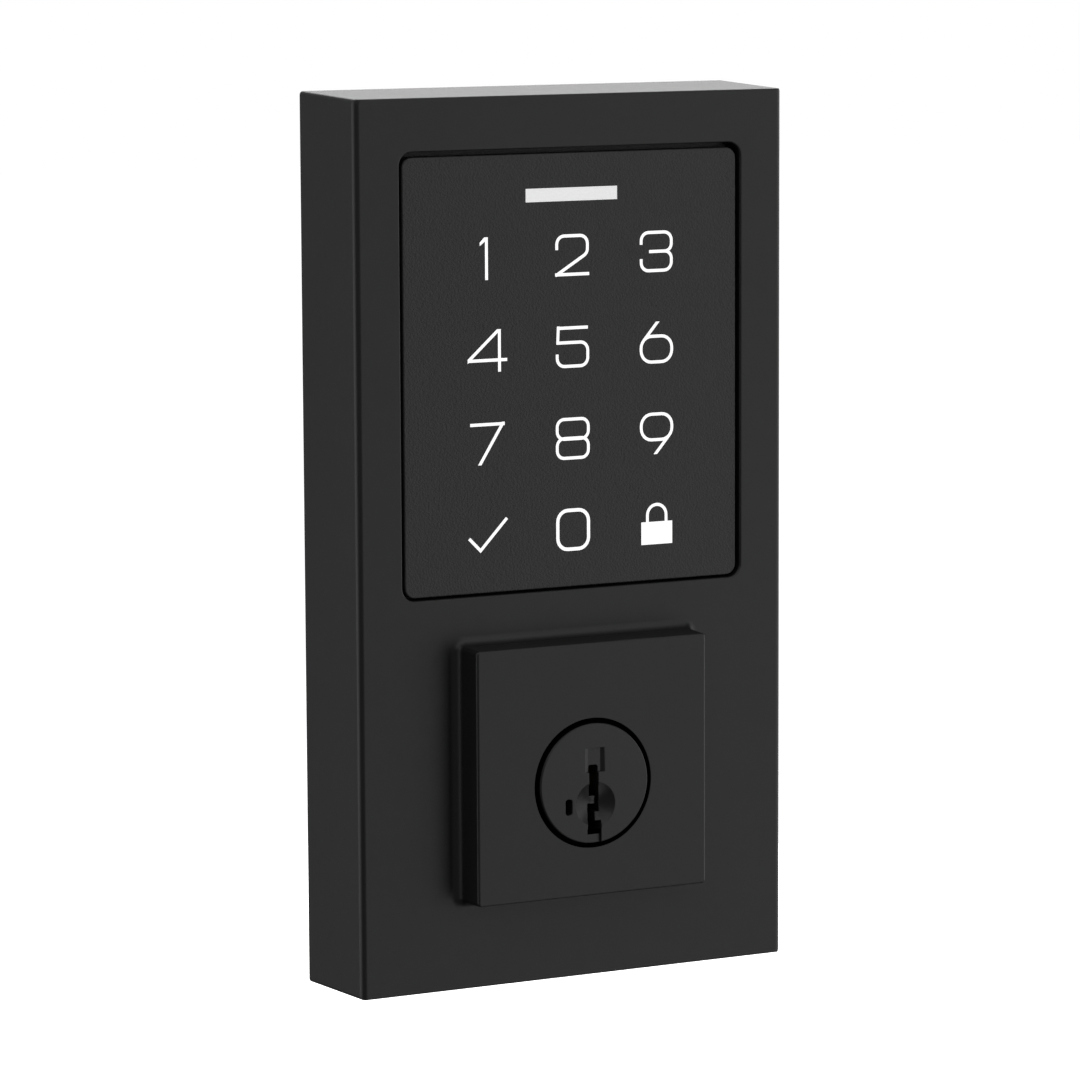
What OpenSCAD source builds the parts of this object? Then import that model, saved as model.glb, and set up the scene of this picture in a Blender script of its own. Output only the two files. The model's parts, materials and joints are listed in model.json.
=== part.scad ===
/* Keypad deadbolt, exterior unit: a cast cover with a touch keypad and a key cylinder.
   Millimetres. +Z is up, the keypad faces -Y, and the origin is where the axis of
   the key cylinder meets the door. */

/* [Cover] */
// Width of the cover's front face
body_w = 70; // [69:0.1:72]
// Height of the cover's front face
body_h = 130.1; // [129.5:0.1:134]
// Depth of the cover from its front face to its rear rim
cover_depth = 18; // [18:0.5:20]
// Growth of the left and right sides from the front face to the rear rim, the casting's draft
side_taper = 0.15; // [0.1:0.05:0.6]
// Growth of the top and the bottom from the front face to the rear rim
end_taper = 0.6; // [0.3:0.1:0.9]
// Rounding of the long vertical front edges
side_edge_r = 0.9; // [0.6:0.1:1.5]
// Rounding of the top and bottom front edges
end_edge_r = 0.3; // [0.3:0.1:1]
// Thickness of the cover's side walls
wall = 2.2; // [1.8:0.1:2.2]
// Thickness of the cover's front wall
front_wall = 2.4; // [2:0.1:2.6]
// Height of the cylinder's axis above the cover's bottom edge
axis_up = 29.9; // [29.5:0.1:30.5]

/* [Boss] */
// Width of the raised square around the cylinder
boss_w = 37.8; // [37:0.1:38.5]
// Height of the raised square
boss_h = 37.5; // [37:0.1:38]
// How far the square stands out of the front face
boss_rise = 5.6; // [5:0.1:6]
// Centre of the square above the cylinder's axis
boss_up = 2; // [1.8:0.1:2.2]
// Fillet where the square meets the front face
boss_fillet = 1.4; // [0.8:0.1:1.8]
// Rounding of the square's front edges
boss_edge_r = 0.4; // [0.2:0.1:0.6]

/* [Keypad] */
// Width of the opening for the touch panel
opening_w = 55.8; // [55.4:0.1:56]
// Height of the opening for the touch panel
opening_h = 64.6; // [64.4:0.1:65]
// Gap between the touch panel and the opening at each side
panel_gap = 0.5; // [0.3:0.1:0.6]
// How far the touch panel lies below the front face
panel_recess = 0.4; // [0.2:0.1:0.8]
// Distance between the key columns
key_pitch_x = 13.95; // [13.5:0.05:14.2]
// Distance between the key rows
key_pitch_z = 13.4; // [13:0.05:13.6]
// Width of the strokes of the key legends
stroke = 0.46; // [0.4:0.02:0.7]
// Length of the status light
status_w = 15; // [12:0.5:18]
// Height of the status light
status_h = 1.95; // [1.5:0.05:2.5]

/* [Cylinder] */
// Radius of the bore in the boss around the plug's head
head_bore_r = 9.6; // [9.4:0.1:10]
// Radius of the plug's head
head_r = 8.9; // [8.6:0.05:9.1]
// Radius of the plug's barrel
plug_r = 8; // [7.95:0.05:8.1]
// Radial running clearance of the plug in its housing
plug_play = 0.05; // [0.03:0.01:0.08]
// How far the plug's head stands out of the boss
head_proud = 0.4; // [0.2:0.1:0.6]
// Distance between the key pins
pin_pitch = 3.81; // [3.7:0.01:3.85]
// Lift of the key pins
pin_lift = 2.3; // [1.5:0.1:2.3]
// Length of the torque blade behind the door's face
blade_reach = 60; // [45:1:75]

/* [Mounting] */
// Distance between the two through bolts
bolt_spacing = 38; // [37.8:0.1:38.4]
// Radius of the tapped bores for the through bolts
bolt_bore_r = 1.75; // [1.6:0.05:2]
// Radius of the cable outlet
cable_r = 4; // [3.5:0.1:4.2]

/* [Hidden] */

black_coat = "#2b2b2c";
black_plastic = "#242425";
legend_white = "#f6f6f4";
steel = "#9a9da0";
zinc = "#8b8d8f";
brass = "#c9a45c";
rubber_black = "#1a1a1a";
board_green = "#1f5a3a";

arc_steps = 6;
round_fn = 64;
eps = 0.01;

// Depths along Y, from the door's face at 0 towards the front
gasket_t = 1.2;
plate_t = 1.5;
rim_y = -0.4;
plate_back_y = -gasket_t;
plate_front_y = plate_back_y - plate_t;
front_y = rim_y - cover_depth;
inner_y = front_y + front_wall;
boss_y = front_y - boss_rise;
boss_inner_y = boss_y + 2.2;
head_front_y = boss_y - head_proud;
head_back_y = boss_inner_y - 0.1;
housing_back_y = 3;
plug_back_y = 4.8;
panel_y = front_y + panel_recess;
seal_t = 0.5;
flange_front_y = inner_y + seal_t;
flange_back_y = flange_front_y + 1.2;
film_t = 0.2;
baffle_t = 2;
board_t = 1.4;
film_back_y = flange_back_y + film_t;
board_front_y = film_back_y + baffle_t;
board_back_y = board_front_y + board_t;

// Heights
bottom_z = -axis_up;
top_z = bottom_z + body_h;
body_mid_z = (bottom_z + top_z) / 2;
top_border = 7.7;
cavity_w = body_w - 2 * wall;
cavity_h = body_h - 2 * wall;
opening_z = top_z - top_border - opening_h / 2;
panel_w = opening_w - 2 * panel_gap;
panel_h = opening_h - 1.1;
panel_z = opening_z - 0.22;
key_col_x = [-key_pitch_x, 0, key_pitch_x];
key_x0 = 0.05;
key_row1_z = opening_z + 16.65;
status_z = opening_z + 25.5;
flange_w = opening_w + 2;
flange_h = opening_h + 2;

// Plug and tumblers
pin_count = 5;
pin_x = -0.15;
pin_r = 1.3;
pin_first_y = head_front_y + 6.3;
pin_top_z = 2.9;
pin_tip_z = -3.4;
chamber_r = pin_r + 0.05;
chamber_top_z = 7.3;
pins_front_y = pin_first_y - 1.7;
pins_back_y = pin_first_y + (pin_count - 1) * pin_pitch + 1.7;
rack_left_x = -3;
sidebar_tip_x = -7.6;
groove_r = 7.2;
hub_r = 3.3;
head_edge_r = 0.25;
wing_r = 6.2;
drive_play = 0.75;
dog_span = 44.5;

// Screws
plate_screw_x = 26;
plate_screw_z = [bottom_z + 4.6, top_z - 4.6];
plate_post_r = 2;
plate_head_r = 2;
board_screw_x = 24.5;
board_screw_z = [panel_z - 29.2, panel_z + 29.2];
lug_screw_at = [[-12.2, 14.4], [12.2, -10.5]];
screw_r = 1.05;
screw_hole_r = 1.2;
spigot_r = 2.3;
grommet_z = 19.6;

// ---- points and outlines ----

function arc(c, r, a0, a1, n = arc_steps) =
    [for (i = [0 : n]) let (a = a0 + (a1 - a0) * i / n) c + r * [cos(a), sin(a)]];

function unit(v) = v / norm(v);

// Point i of a path, moved sideways by d along the mitre of its two segments
function beside(path, i, d) =
    let (
        last = len(path) - 1,
        u = i > 0 ? unit(path[i] - path[i - 1]) : unit(path[1] - path[0]),
        v = i < last ? unit(path[i + 1] - path[i]) : unit(path[last] - path[last - 1]),
        m = unit(u + v)
    )
    path[i] + d / (m * u) * [-m[1], m[0]];

function rounded_rect(w, h, r) =
    let (x = w / 2 - r, y = h / 2 - r)
    concat(
        arc([x, y], r, 0, 90), arc([-x, y], r, 90, 180),
        arc([-x, -y], r, 180, 270), arc([x, -y], r, 270, 360)
    );

// A band of constant width along a path
module ribbon(path, w = stroke) {
    last = len(path) - 1;
    polygon(concat(
        [for (i = [0 : last]) beside(path, i, w / 2)],
        [for (i = [last : -1 : 0]) beside(path, i, -w / 2)]
    ));
}

module loop_band(w, h, r, s = stroke) {
    difference() {
        polygon(rounded_rect(w, h, r));
        polygon(rounded_rect(w - 2 * s, h - 2 * s, r - s));
    }
}

module wedge(mid, span, r = 20) {
    polygon([
        [0, 0],
        r * [cos(mid - span / 2), sin(mid - span / 2)],
        r * [cos(mid), sin(mid)],
        r * [cos(mid + span / 2), sin(mid + span / 2)]
    ]);
}

// An outline drawn in X and Z, made solid from y0 back to y1
module slab(y0, y1) {
    translate([0, y1, 0])
        rotate([90, 0, 0])
            linear_extrude(y1 - y0)
                children();
}

// A round bar or bore along Y
module round_y(r, y0, y1, at = [0, 0]) {
    translate([at[0], y1, at[1]])
        rotate([90, 0, 0])
            cylinder(r = r, h = y1 - y0, $fn = round_fn);
}

// A profile of radius and Y turned about the Y axis
module turned_y(profile) {
    rotate([-90, 0, 0])
        rotate_extrude($fn = round_fn)
            polygon([for (p = profile) [p[0], p[1]]]);
}

// A pan-head screw that points to the front, its head's seat at y
module screw(at, y, shank_r, shank, head_r, head_h) {
    difference() {
        union() {
            round_y(shank_r, y - shank, y + eps, at);
            round_y(head_r, y, y + head_h, at);
        }
        for (turn = [0, 90])
            translate([at[0], y + head_h, at[1]])
                rotate([0, turn, 0])
                    cube([head_r * 1.1, head_h * 1.2, head_r * 0.28], center = true);
    }
}

// ---- cover ----

// Section of the drafted cover: a half width at the front, rounded by r, grown by taper
function drafted(half, r, taper) =
    let (
        b = atan(taper / cover_depth),
        cx = half - r * (1 - sin(b)) / cos(b)
    )
    concat(
        [[-half - taper, rim_y]],
        arc([-cx, front_y + r], r, 180 + b, 270),
        arc([cx, front_y + r], r, 270, 360 - b),
        [[half + taper, rim_y]]
    );

// Section of the boss: flared at its base by the fillet, rounded at its front
function flared(half) =
    let (
        b = 2,
        base = half + boss_rise * tan(b),
        fx = base + boss_fillet * (1 - sin(b)) / cos(b),
        ex = half - boss_edge_r * (1 - sin(b)) / cos(b),
        fy = front_y - boss_fillet,
        ey = boss_y + boss_edge_r
    )
    concat(
        [[-fx, front_y + 1]],
        arc([-fx, fy], boss_fillet, 90, b),
        arc([-ex, ey], boss_edge_r, 180 + b, 270),
        arc([ex, ey], boss_edge_r, 270, 360 - b),
        arc([fx, fy], boss_fillet, 180 - b, 90),
        [[fx, front_y + 1]]
    );

// The common part of a section in X and Y run along Z, and one in Z and Y run along X
module crossed(section_x, section_z, mid_z) {
    reach = body_h;
    intersection() {
        translate([0, 0, mid_z - reach])
            linear_extrude(2 * reach)
                polygon(section_x);
        translate([-reach, 0, mid_z])
            rotate([90, 0, 90])
                linear_extrude(2 * reach)
                    polygon([for (p = section_z) [p[1], p[0]]]);
    }
}

module opening_outline() {
    translate([0, opening_z])
        polygon(rounded_rect(opening_w, opening_h, 2));
}

module plate_screw_places() {
    for (x = [-plate_screw_x, plate_screw_x], z = plate_screw_z)
        translate([x, 0, z])
            children();
}

module front_cover() {
    color(black_coat)
    difference() {
        union() {
            difference() {
                union() {
                    crossed(drafted(body_w / 2, side_edge_r, side_taper),
                            drafted(body_h / 2, end_edge_r, end_taper), body_mid_z);
                    crossed(flared(boss_w / 2), flared(boss_h / 2), boss_up);
                }
                slab(inner_y, 1)
                    translate([0, body_mid_z])
                        square([cavity_w, cavity_h], center = true);
                slab(boss_inner_y, inner_y + eps)
                    translate([0, boss_up])
                        square([30.6, 31.5], center = true);
            }
            plate_screw_places()
                round_y(plate_post_r, inner_y - eps, plate_front_y);
            for (at = lug_screw_at)
                round_y(2.5, boss_inner_y - eps, boss_inner_y + 3.8, at);
        }
        slab(front_y - 1, inner_y + 1)
            opening_outline();
        round_y(head_bore_r, boss_y - 1, boss_inner_y + 1);
        plate_screw_places()
            round_y(screw_hole_r, plate_front_y - 9.5, plate_front_y + 1);
        for (at = lug_screw_at)
            round_y(screw_hole_r, boss_inner_y + 0.6, boss_inner_y + 4.8, at);
        for (side = [-1, 1])
            round_y(spigot_r + 0.1, inner_y - 1.6, inner_y + 1, [side * bolt_spacing / 2, 0]);
    }
}

// ---- back ----

module plate_outline(gap) {
    translate([0, body_mid_z])
        polygon(rounded_rect(cavity_w - 2 * gap, cavity_h - 2 * gap, 1));
}

module back_plate() {
    color(steel)
    difference() {
        slab(plate_front_y, plate_back_y)
            plate_outline(0.35);
        round_y(13.5, plate_front_y - 1, plate_back_y + 1);
        round_y(cable_r + 1, plate_front_y - 1, plate_back_y + 1, [0, grommet_z]);
        for (side = [-1, 1])
            round_y(3.8, plate_front_y - 1, plate_back_y + 1, [side * bolt_spacing / 2, 0]);
        plate_screw_places()
            round_y(1.4, plate_front_y - 1, plate_back_y + 1);
    }
}

module door_gasket() {
    color(rubber_black)
    difference() {
        slab(plate_back_y, 0)
            plate_outline(0.6);
        round_y(23.4, plate_back_y - 1, 1);
        round_y(cable_r + 2.4, plate_back_y - 1, 1, [0, grommet_z]);
        plate_screw_places()
            round_y(2.8, plate_back_y - 1, 1);
    }
}

module back_plate_screws() {
    color(steel)
    for (x = [-plate_screw_x, plate_screw_x], z = plate_screw_z)
        screw([x, z], plate_back_y, screw_r, 9.3, plate_head_r, 0.9);
}

module mounting_posts() {
    color(zinc)
    for (side = [-1, 1])
        difference() {
            at = [side * bolt_spacing / 2, 0];
            union() {
                round_y(3.5, inner_y, 4, at);
                round_y(spigot_r, inner_y - 1.5, inner_y + eps, at);
            }
            round_y(bolt_bore_r, -11, 5, at);
        }
}

module cable_grommet() {
    inside_y = plate_front_y - 0.8;
    outside_y = plate_back_y + 0.8;
    lip_r = cable_r + 1.9;
    neck_r = cable_r + 1;
    color(rubber_black)
    translate([0, 0, grommet_z])
        difference() {
            union() {
                round_y(lip_r, inside_y, plate_front_y);
                round_y(neck_r, plate_front_y - eps, plate_back_y + eps);
                round_y(lip_r, plate_back_y, outside_y);
            }
            round_y(cable_r, inside_y - 1, outside_y + 1);
        }
}

// ---- key legends: outlines 5.6 wide and 6.2 high about their centres ----

g_x = 2.52;
g_z = 2.8;
g_r = 1.2;

module clip(w = 5.6, h = 6.16) {
    intersection() {
        square([w, h], center = true);
        union() children();
    }
}

module digit_1() {
    half = stroke / 2;
    polygon([
        [half, 3.08], [half, -3.08], [-half, -3.08], [-half, 2.5],
        [-1.08, 1.85], [-1.08, 2.35], [-0.35, 3.08]
    ]);
}

module digit_2() {
    curl = concat(
        [[-g_x, 0.8]],
        arc([-g_x + g_r, g_z - g_r], g_r, 180, 90),
        arc([g_x - g_r, g_z - g_r], g_r, 90, 0),
        arc([g_x - g_r, 0.9], g_r, -5, -58),
        [[-2.75, -2.95]]
    );
    clip() {
        ribbon(curl);
        translate([0, -g_z])
            square([5.6, stroke], center = true);
    }
}

module bowl_of_3() {
    ribbon(concat(
        [[-g_x, 1.05]],
        arc([-g_x + g_r, g_z - g_r], g_r, 180, 90),
        arc([g_x - g_r, g_z - g_r], g_r, 90, 0),
        arc([g_x - 1.1, 1.1], 1.1, -5, -90),
        [[-1.2, 0]]
    ));
}

module digit_3() {
    clip() {
        bowl_of_3();
        mirror([0, 1])
            bowl_of_3();
    }
}

module digit_4() {
    translate([0.06, 0.06])
        clip(6.4, 6.16) {
            ribbon([[-3.4, -1.62], [2.5, 3.6]]);
            translate([0, -1.36])
                square([6.4, stroke], center = true);
            translate([1.95, 0])
                square([stroke, 6.4], center = true);
        }
}

module digit_5() {
    bowl = concat(
        [[-2.6, 0.66]],
        arc([g_x - g_r, 0.66 - g_r], g_r, 90, 0),
        arc([g_x - g_r, -g_z + g_r], g_r, -5, -90),
        arc([-g_x + g_r, -g_z + g_r], g_r, 270, 180),
        [[-g_x, -1]]
    );
    clip() {
        ribbon(bowl);
        ribbon([[-2.43, 0.45], [-2.3, 3.4]]);
        translate([0, g_z])
            square([5.1, stroke], center = true);
    }
}

module digit_6() {
    loop_h = 4.25;
    mid = -3.08 + loop_h / 2;
    tail_turn = 139;
    c = [-2.8 + 1.95, mid + loop_h / 2 - 1.95];
    start = c + (1.95 - stroke / 2) * [cos(tail_turn), sin(tail_turn)];
    translate([0, mid])
        loop_band(5.6, loop_h, 1.95);
    clip()
        ribbon([start, start + 6 * [sin(tail_turn), -cos(tail_turn)]]);
}

module digit_7() {
    clip() {
        translate([0, g_z])
            square([5.6, stroke], center = true);
        ribbon([[2.85, 3.45], [-1.5, -3.4]]);
    }
}

module digit_8() {
    for (up = [-1, 1])
        translate([0, up * 1.4])
            loop_band(5.6, 3.36, 1.35);
}

module digit_9() {
    rotate(180)
        digit_6();
}

module digit_0() {
    loop_band(5.6, 6.24, 1.9, stroke + 0.06);
}

module check_mark() {
    ribbon([[-3.08, -0.3], [-1.24, -2.14], [3.08, 2.4]]);
}

module padlock() {
    translate([0, -1.37])
        square([5.2, 3.36], center = true);
    difference() {
        union() {
            translate([0, 1.28])
                circle(r = 1.8, $fn = 32);
            translate([-1.8, 0])
                square([3.6, 1.28]);
        }
        translate([0, 1.28])
            circle(r = 1.8 - stroke, $fn = 32);
        translate([-1.8 + stroke, 0.31])
            square([3.6 - 2 * stroke, 0.97]);
    }
}

module key_place(column, row) {
    translate([key_x0 + key_col_x[column], key_row1_z - row * key_pitch_z])
        children();
}

module digit_outlines() {
    key_place(0, 0) digit_1();
    key_place(1, 0) digit_2();
    key_place(2, 0) digit_3();
    key_place(0, 1) digit_4();
    key_place(1, 1) digit_5();
    key_place(2, 1) digit_6();
    key_place(0, 2) digit_7();
    key_place(1, 2) digit_8();
    key_place(2, 2) digit_9();
    key_place(1, 3) digit_0();
}

module symbol_outlines() {
    key_place(0, 3) check_mark();
    key_place(2, 3) padlock();
}

// ---- keypad ----

legend_t = 0.5;

module status_outline() {
    translate([0, status_z])
        square([status_w, status_h], center = true);
}

module keypad_panel() {
    color(black_plastic)
    difference() {
        union() {
            slab(panel_y, flange_front_y + eps)
                translate([0, panel_z])
                    polygon(rounded_rect(panel_w, panel_h, 1.6));
            slab(flange_front_y, flange_back_y)
                translate([0, opening_z])
                    polygon(rounded_rect(flange_w, flange_h, 2));
        }
        slab(panel_y - 1, panel_y + legend_t) {
            digit_outlines();
            symbol_outlines();
        }
        slab(panel_y - 1, flange_back_y + 1)
            status_outline();
        for (x = [-board_screw_x, board_screw_x], z = board_screw_z)
            round_y(0.85, flange_back_y - 2.2, flange_back_y + 1, [x, z]);
    }
}

module panel_seal() {
    color(rubber_black)
    slab(inner_y, flange_front_y)
        difference() {
            translate([0, opening_z])
                polygon(rounded_rect(flange_w, flange_h, 2));
            translate([0, opening_z])
                polygon(rounded_rect(opening_w - 0.2, opening_h - 0.2, 1.9));
        }
}

module digit_legends() {
    color(legend_white)
    slab(panel_y, panel_y + legend_t)
        digit_outlines();
}

module symbol_legends() {
    color(legend_white)
    slab(panel_y, panel_y + legend_t)
        symbol_outlines();
}

module status_window() {
    color(legend_white)
    slab(panel_y, flange_back_y)
        status_outline();
}

module diffuser_film() {
    color("white")
    slab(flange_back_y, film_back_y)
        translate([0, panel_z])
            square([44, 58], center = true);
}

module board_outline() {
    translate([0, panel_z])
        square([53, 62], center = true);
}

module board_screw_holes(y0, y1) {
    for (x = [-board_screw_x, board_screw_x], z = board_screw_z)
        round_y(1, y0, y1, [x, z]);
}

module light_baffle() {
    color(black_plastic)
    difference() {
        slab(film_back_y, board_front_y)
            board_outline();
        slab(film_back_y - 1, board_front_y + 1) {
            for (column = [0 : 2], row = [0 : 3])
                key_place(column, row)
                    square([11, 10.5], center = true);
            translate([0, status_z])
                square([17, 4], center = true);
        }
        board_screw_holes(film_back_y - 1, board_front_y + 1);
    }
}

module touch_board() {
    color(board_green)
    difference() {
        slab(board_front_y, board_back_y)
            board_outline();
        board_screw_holes(board_front_y - 1, board_back_y + 1);
    }
}

module key_leds() {
    color(legend_white)
    slab(board_front_y - 0.7, board_front_y)
        for (column = [0 : 2], row = [0 : 3])
            key_place(column, row)
                square([1.6, 0.8], center = true);
}

module status_leds() {
    color(legend_white)
    slab(board_front_y - 0.7, board_front_y)
        for (x = [-5, 0, 5])
            translate([x, status_z])
                square([1.6, 0.8], center = true);
}

module touch_controller() {
    color("#202020")
    slab(board_back_y, board_back_y + 1)
        translate([0, panel_z + 6])
            square([7, 7], center = true);
}

module board_connector() {
    color("#e8e4d8")
    difference() {
        slab(board_back_y, board_back_y + 4)
            translate([0, panel_z - 25])
                square([12, 5], center = true);
        slab(board_back_y + 0.8, board_back_y + 5)
            translate([0, panel_z - 25])
                square([10.4, 3.4], center = true);
    }
}

module board_cover() {
    back_y = plate_front_y - 1.5;
    color(black_plastic)
    difference() {
        union() {
            slab(flange_back_y, back_y)
                translate([0, opening_z])
                    polygon(rounded_rect(flange_w, flange_h, 2));
            for (x = [-20, 20], z = [panel_z - 25, panel_z + 25])
                round_y(2, back_y - eps, plate_front_y, [x, z]);
        }
        slab(flange_back_y - 1, back_y - 1.3)
            translate([0, opening_z])
                square([flange_w - 2.6, flange_h - 2.6], center = true);
        slab(board_back_y + 1.5, back_y - 1.3)
            translate([0, opening_z - flange_h / 2])
                square([12, 6], center = true);
    }
}

module board_screws() {
    color(steel)
    for (x = [-board_screw_x, board_screw_x], z = board_screw_z)
        screw([x, z], board_back_y, 0.8, 5.6, 1.6, 0.9);
}

// ---- cylinder ----

module cylinder_housing() {
    color(zinc)
    difference() {
        union() {
            round_y(13.2, boss_inner_y, housing_back_y);
            slab(boss_inner_y + 3.8, boss_inner_y + 5.6)
                translate([0, boss_up])
                    square([29.8, 30.7], center = true);
        }
        round_y(plug_r + plug_play, boss_inner_y - 1, housing_back_y + 1);
        for (at = lug_screw_at)
            round_y(1.4, boss_inner_y, boss_inner_y + 7, at);
        for (z = [-2.5, 2.5])
            round_y(1, boss_inner_y - 1, boss_inner_y + 6, [-10.8, z]);
        // groove that the sidebar locks into
        slab(pins_front_y, pins_back_y)
            polygon([[-7.5, -0.75], [-8.7, -0.35], [-8.7, 0.35], [-7.5, 0.75]]);
    }
}

module cylinder_screws() {
    color(steel)
    for (at = lug_screw_at)
        screw(at, boss_inner_y + 5.6, screw_r, 4.6, 2.2, 1.2);
}

module anti_drill_pins() {
    color(steel)
    for (z = [-2.5, 2.5])
        round_y(1, boss_inner_y, boss_inner_y + 6, [-10.8, z]);
}

module keyway_outline() {
    polygon([
        [-0.6, 2.65], [-0.8, 2.45], [-0.8, 0.2], [-0.45, -2], [0.5, -2], [0.6, -3.2],
        [-0.6, -3.2], [-0.75, -4.6], [-1.05, -6.4], [-1.05, -7.5], [1.05, -7.5],
        [1.2, -5.65], [0.25, -5.65], [0.45, -4.35], [1.1, -4.35], [1.1, -2.4],
        [0.65, 0.2], [0.65, 2.45], [0.45, 2.65]
    ]);
}

module plug_body() {
    turned_y(concat(
        [[0, head_front_y]],
        arc([head_r - head_edge_r, head_front_y + head_edge_r], head_edge_r, 270, 360, 4),
        [
            [head_r, head_back_y], [plug_r, head_back_y],
            [plug_r, housing_back_y + 0.15], [groove_r, housing_back_y + 0.15],
            [groove_r, housing_back_y + 0.95], [plug_r, housing_back_y + 0.95],
            [plug_r, plug_back_y], [0, plug_back_y]
        ]
    ));
}

// Outline of the two dogs that drive the torque blade
module dog_outline() {
    difference() {
        intersection() {
            circle(r = wing_r + 0.1, $fn = round_fn);
            union() {
                for (mid = [135, 315])
                    wedge(mid, dog_span);
            }
        }
        circle(r = hub_r + 0.2, $fn = round_fn);
    }
}

module plug() {
    color(black_coat)
    difference() {
        plug_body();
        // keyway, with a scooped pocket above, a notch below and a countersink round it
        slab(head_front_y - 1, 1)
            keyway_outline();
        translate([0, head_front_y, 1.65])
            linear_extrude(3.55)
                polygon([[-2.1, -0.3], [-0.8, 0.35], [1.15, 0.35], [2.25, -0.3]]);
        slab(head_front_y - 1, head_front_y + 0.5)
            translate([0, -7.9])
                square([2.35, 2], center = true);
        translate([0.15, head_front_y, -3.1])
            turned_y([[0, -0.1], [3.4, -0.1], [2.6, 0.4], [1.2, 0.85], [0.3, 1.12], [0, 1.12]]);
        // slot for the re-keying tool
        slab(head_front_y - 1, pins_front_y + eps)
            translate([-4.2, -3.25])
                polygon(rounded_rect(1.05, 2.3, 0.4));
        // chambers of the key pins, slots of the racks
        for (i = [0 : pin_count - 1])
            translate([0, pin_first_y + i * pin_pitch, 0]) {
                translate([pin_x, 0, pin_tip_z - 0.2])
                    cylinder(r = chamber_r, h = chamber_top_z - pin_tip_z + 0.3, $fn = round_fn);
                translate([rack_left_x - 0.1, -1.3, -3])
                    cube([1.8, 2.6, 8.6]);
            }
        // seats of the carriage, the sidebar and the spring cover
        translate([rack_left_x - 1.1, pins_front_y - 0.1, -5.1])
            cube([1.05, pins_back_y - pins_front_y + 0.2, 10.8]);
        translate([-9, pins_front_y - 0.1, -0.75])
            cube([5.1, pins_back_y - pins_front_y + 0.2, 1.5]);
        translate([pin_x - 1.5, pins_front_y - 0.1, chamber_top_z])
            cube([3, pins_back_y - pins_front_y + 0.2, 2]);
        // recess that holds the blade's hub, with its two dogs left standing
        slab(plug_back_y - 1.2, plug_back_y + 1)
            difference() {
                circle(r = wing_r + 0.1, $fn = round_fn);
                dog_outline();
            }
    }
}

module plug_retainer() {
    color(steel)
    slab(housing_back_y + 0.2, housing_back_y + 0.9)
        difference() {
            circle(r = 9.6, $fn = round_fn);
            circle(r = groove_r + 0.05, $fn = round_fn);
            wedge(270, 40);
        }
}

module driver_cap() {
    color(steel)
    difference() {
        round_y(7.6, plug_back_y, plug_back_y + 0.8);
        round_y(3.8, plug_back_y - 1, plug_back_y + 2);
    }
}

module spring_cover() {
    color(brass)
    translate([pin_x - 1.4, pins_front_y, chamber_top_z + 0.1])
        cube([2.8, pins_back_y - pins_front_y, 0.4]);
}

module rack_carriage() {
    color(brass)
    difference() {
        translate([rack_left_x - 1.05, pins_front_y, -5])
            cube([0.95, pins_back_y - pins_front_y, 10.6]);
        translate([rack_left_x - 2, pins_front_y + 0.8, -0.9])
            cube([3, pins_back_y - pins_front_y - 1.6, 1.8]);
    }
}

module sidebar() {
    color(brass)
    slab(pins_front_y + 0.1, pins_back_y - 0.1)
        polygon([
            [-4.15, -0.65], [-4.15, 0.65], [-7.1, 0.65],
            [sidebar_tip_x, 0.25], [sidebar_tip_x, -0.25], [-7.1, -0.65]
        ]);
}

module torque_blade() {
    color(steel) {
        slab(plug_back_y - 1.15, plug_back_y - 0.1) {
            circle(r = hub_r, $fn = round_fn);
            intersection() {
                circle(r = wing_r, $fn = round_fn);
                union() {
                    for (mid = [90, 270])
                        wedge(mid, 90 - dog_span - 2 * drive_play);
                }
            }
        }
        round_y(hub_r, plug_back_y - 0.5, plug_back_y + 1.6);
        slab(plug_back_y + 1, blade_reach)
            intersection() {
                circle(r = 3, $fn = round_fn);
                square([2.4, 6.2], center = true);
            }
    }
}

// ---- tumblers, the first at the front ----

module key_pin(i) {
    color(brass)
    translate([pin_x, pin_first_y + (i - 1) * pin_pitch, 0]) {
        translate([0, 0, pin_tip_z + 1])
            cylinder(r = pin_r, h = pin_top_z - pin_tip_z - 1, $fn = round_fn);
        translate([0, 0, pin_tip_z])
            cylinder(r1 = 0.5, r2 = pin_r, h = 1 + eps, $fn = round_fn);
    }
}

module rack(i) {
    y = pin_first_y + (i - 1) * pin_pitch;
    color(steel)
    difference() {
        translate([rack_left_x, y - 1.2, -2.8])
            cube([1.6, 2.4, 5.9]);
        translate([pin_x, y, -4])
            cylinder(r = pin_r, h = 9, $fn = round_fn);
        translate([rack_left_x - 0.3, y - 2, 0.3 - 0.4 * (i % 3)])
            cube([0.7, 4, 0.8]);
    }
}

// A coil as one closed tube of square rings along a helix
module pin_spring(i) {
    z0 = pin_top_z + 0.02;
    rise = chamber_top_z - z0 - 0.02;
    turns = 5;
    per_turn = 12;
    wire = 0.14;
    coil_r = 0.95;
    sides = 4;
    last = turns * per_turn;
    ring = [for (k = [0 : last]) let (
            a = 360 * k / per_turn,
            z = z0 + wire + (rise - 2 * wire) * k / last
        )
        for (s = [0 : sides - 1]) let (t = 45 + 360 * s / sides)
            [(coil_r + wire * cos(t)) * cos(a), (coil_r + wire * cos(t)) * sin(a),
             z + wire * sin(t)]
    ];
    skin = [for (k = [0 : last - 1], s = [0 : sides - 1]) let (
            a = k * sides + s,
            b = k * sides + (s + 1) % sides
        )
        [a, a + sides, b + sides, b]
    ];
    ends = [
        [for (s = [0 : sides - 1]) s],
        [for (s = [sides - 1 : -1 : 0]) last * sides + s]
    ];
    color(steel)
    translate([pin_x, pin_first_y + (i - 1) * pin_pitch, 0])
        polyhedron(ring, concat(skin, ends));
}

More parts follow.
